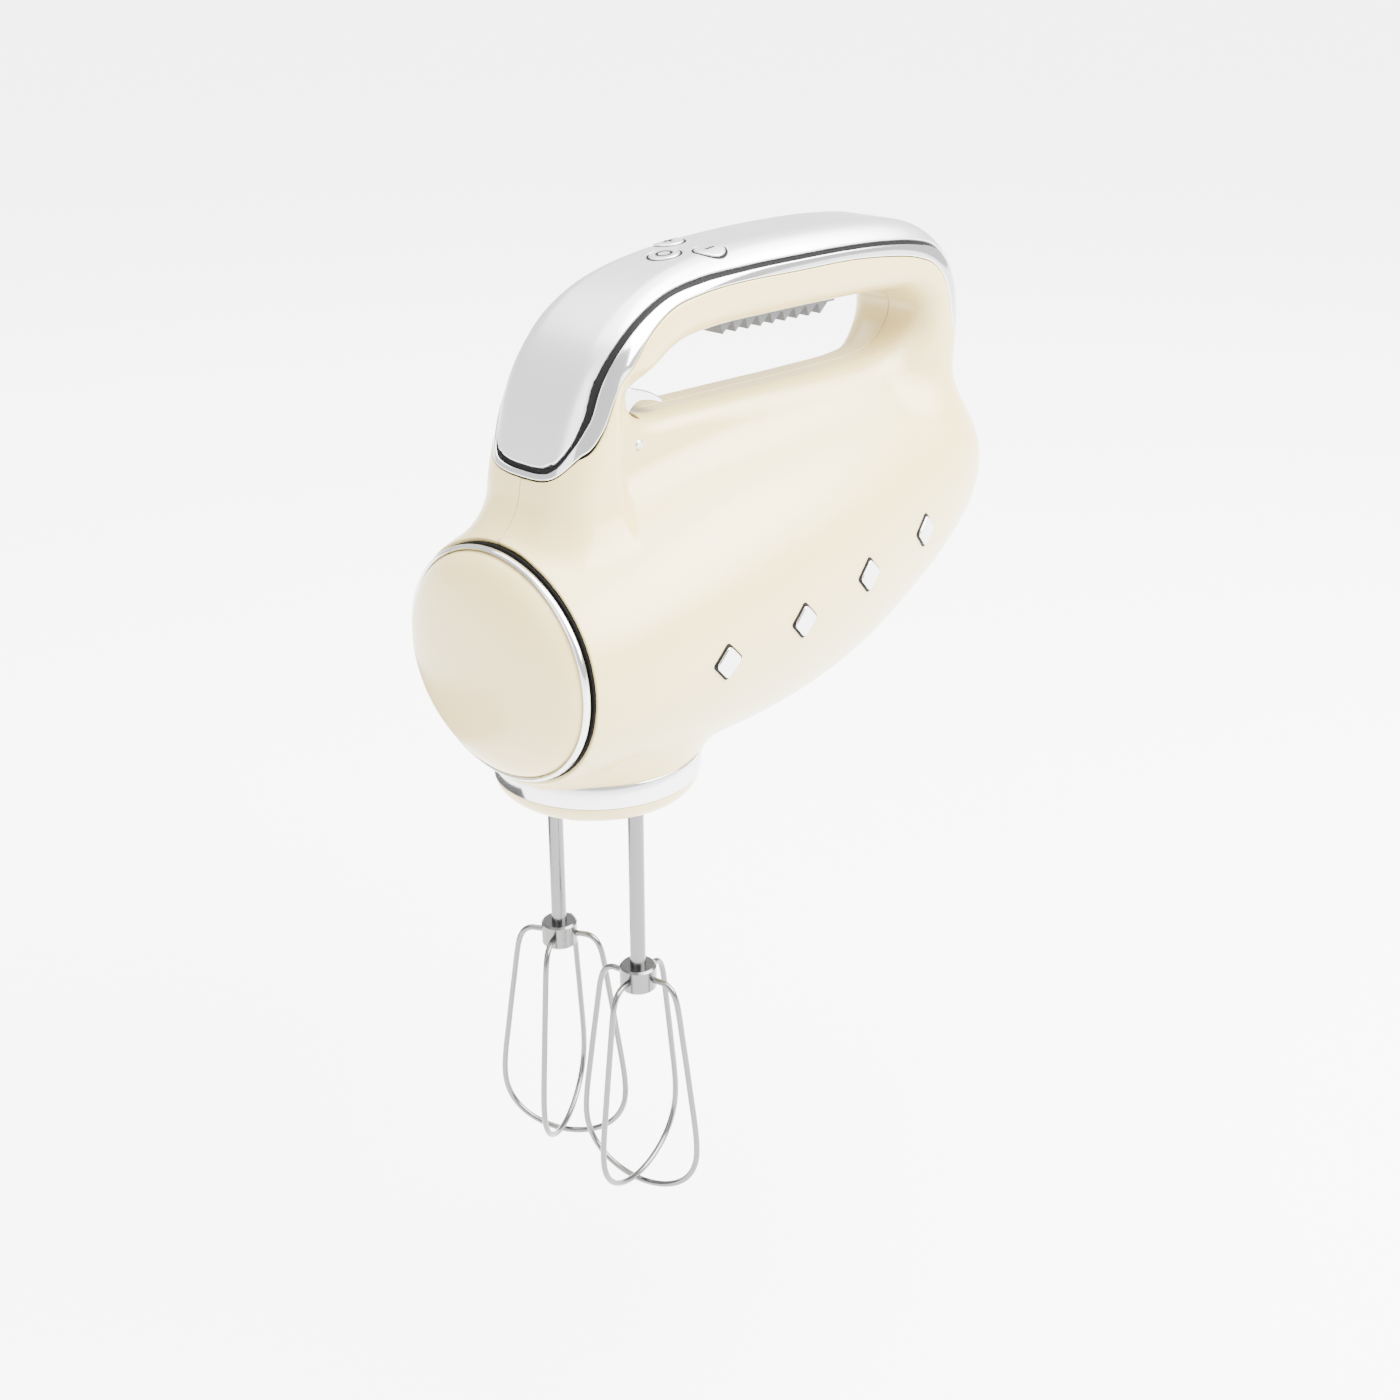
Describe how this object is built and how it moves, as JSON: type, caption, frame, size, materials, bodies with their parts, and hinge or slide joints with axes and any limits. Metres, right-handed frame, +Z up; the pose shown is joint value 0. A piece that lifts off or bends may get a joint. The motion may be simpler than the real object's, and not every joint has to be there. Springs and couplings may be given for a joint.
{
  "type": "hand mixer",
  "caption": "Hand-held electric mixer with a teardrop body, looped grip over the motor, bright trim, push buttons, an eject lever and intermeshing wire beaters under the nose.",
  "frame": {"origin": "midway between the beater axes, on the flat underside of the collar base, where the attachments leave the body", "axes": "+Z up along the beater axes, +X along the motor from the nose to the heel, +Y across to the side on the right when the user looks towards the nose"},
  "size_m": [0.2083, 0.0892, 0.2937],
  "materials": {
    "cream_gloss": "gloss",
    "panel_satin": "satin",
    "bright_chrome": "polished",
    "dark_seal": "matt",
    "grip_grey": "soft matt",
    "beater_steel": "brushed",
    "machine_steel": "ground",
    "bearing_brass": "machined",
    "winding_copper": "enamelled wire",
    "lamination": "varnished",
    "gear_nylon": "moulded",
    "case_nylon": "glass filled",
    "carbon": "carbon",
    "circuit_board": "solder mask",
    "component_black": "moulded"
  },
  "bodies": {
    "housing": {"housing_left": "cream_gloss", "housing_right": "cream_gloss", "nose_cap": "cream_gloss", "collar_base": "cream_gloss", "handle_cover": "panel_satin", "handle_trim": "bright_chrome", "nose_ring": "bright_chrome", "collar_ring": "bright_chrome", "badges_left": "bright_chrome", "badges_right": "bright_chrome", "handle_gasket": "dark_seal", "nose_gasket": "dark_seal", "cord_gland": "dark_seal", "heel_pad": "dark_seal", "grip_insert": "grip_grey", "housing_screws": "machine_steel", "lever_pin": "machine_steel", "lever_spring": "machine_steel", "gear_case": "case_nylon", "gear_case_cover": "case_nylon", "motor_frame": "case_nylon", "case_screws": "machine_steel", "spindle_bushes": "bearing_brass", "shaft_bearings": "bearing_brass", "stator": "lamination", "field_coils": "winding_copper", "brush_holders": "bearing_brass", "brushes": "carbon", "brush_springs": "machine_steel", "ejector_spring": "machine_steel", "power_board": "circuit_board", "control_board": "circuit_board", "board_parts": "component_black", "button_switches": "component_black"},
    "motor_rotor": {"worm": "machine_steel", "motor_shaft": "machine_steel", "fan": "case_nylon", "armature_core": "lamination", "armature_winding": "winding_copper", "commutator": "winding_copper"},
    "spindle_left": {"worm_wheel_left": "gear_nylon", "spindle_left": "machine_steel"},
    "spindle_right": {"worm_wheel_right": "gear_nylon", "spindle_right": "machine_steel"},
    "push_rod_left": {"push_rod_left": "machine_steel"},
    "push_rod_right": {"push_rod_right": "machine_steel"},
    "beater_left": {"beater_left_shaft": "beater_steel", "beater_left_hub": "beater_steel", "beater_left_outer_loop": "beater_steel", "beater_left_inner_loop": "beater_steel"},
    "beater_right": {"beater_right_shaft": "beater_steel", "beater_right_hub": "beater_steel", "beater_right_outer_loop": "beater_steel", "beater_right_inner_loop": "beater_steel"},
    "eject_lever": {"eject_lever": "bright_chrome"},
    "ejector_plate": {"ejector_plate": "gear_nylon"},
    "power_button": {"power_button": "panel_satin"},
    "minus_button": {"minus_button": "panel_satin"},
    "plus_button": {"plus_button": "panel_satin"}
  },
  "joints": [
    {"name": "motor_spin", "type": "hinge", "parent": "housing", "child": "motor_rotor", "pos_m": [0, 0, 0.048], "axis": [1, 0, 0], "continuous": true},
    {"name": "spindle_left_spin", "type": "hinge", "parent": "housing", "child": "spindle_left", "pos_m": [0, -0.0185, 0], "axis": [0, 0, 1], "continuous": true},
    {"name": "spindle_right_spin", "type": "hinge", "parent": "housing", "child": "spindle_right", "pos_m": [0, 0.0185, 0], "axis": [0, 0, 1], "continuous": true},
    {"name": "eject_lever_turn", "type": "hinge", "parent": "housing", "child": "eject_lever", "pos_m": [0.008, 0, 0.105], "axis": [0, -1, 0], "range_deg": [0, 20], "stiffness_Nm_per_rad": 0.12, "springref_deg": -25.78},
    {"name": "ejector_drop", "type": "slide", "parent": "housing", "child": "ejector_plate", "axis": [0, 0, -1], "range_m": [0, 0.0061], "deforming": ["ejector_spring"]},
    {"name": "push_rod_left_drop", "type": "slide", "parent": "spindle_left", "child": "push_rod_left", "axis": [0, 0, -1], "range_m": [0, 0.0061]},
    {"name": "push_rod_right_drop", "type": "slide", "parent": "spindle_right", "child": "push_rod_right", "axis": [0, 0, -1], "range_m": [0, 0.0061]},
    {"name": "beater_left_pull", "type": "slide", "parent": "push_rod_left", "child": "beater_left", "axis": [0, 0, -1], "range_m": [0, 0.047]},
    {"name": "beater_right_pull", "type": "slide", "parent": "push_rod_right", "child": "beater_right", "axis": [0, 0, -1], "range_m": [0, 0.047]},
    {"name": "power_press", "type": "slide", "parent": "housing", "child": "power_button", "axis": [0, 0, -1], "range_m": [0, 0.0008], "stiffness_N_per_m": 600},
    {"name": "minus_press", "type": "slide", "parent": "housing", "child": "minus_button", "axis": [0, 0, -1], "range_m": [0, 0.0008], "stiffness_N_per_m": 600},
    {"name": "plus_press", "type": "slide", "parent": "housing", "child": "plus_button", "axis": [0, 0, -1], "range_m": [0, 0.0008], "stiffness_N_per_m": 600}
  ],
  "couplings": [
    {"joint": "spindle_left_spin", "follows": "motor_spin", "ratio": 0.071429},
    {"joint": "spindle_right_spin", "follows": "motor_spin", "ratio": -0.071429},
    {"joint": "ejector_drop", "follows": "eject_lever_turn", "m_per_rad": 0.017189},
    {"joint": "push_rod_left_drop", "follows": "eject_lever_turn", "m_per_rad": 0.017189},
    {"joint": "push_rod_right_drop", "follows": "eject_lever_turn", "m_per_rad": 0.017189}
  ]
}
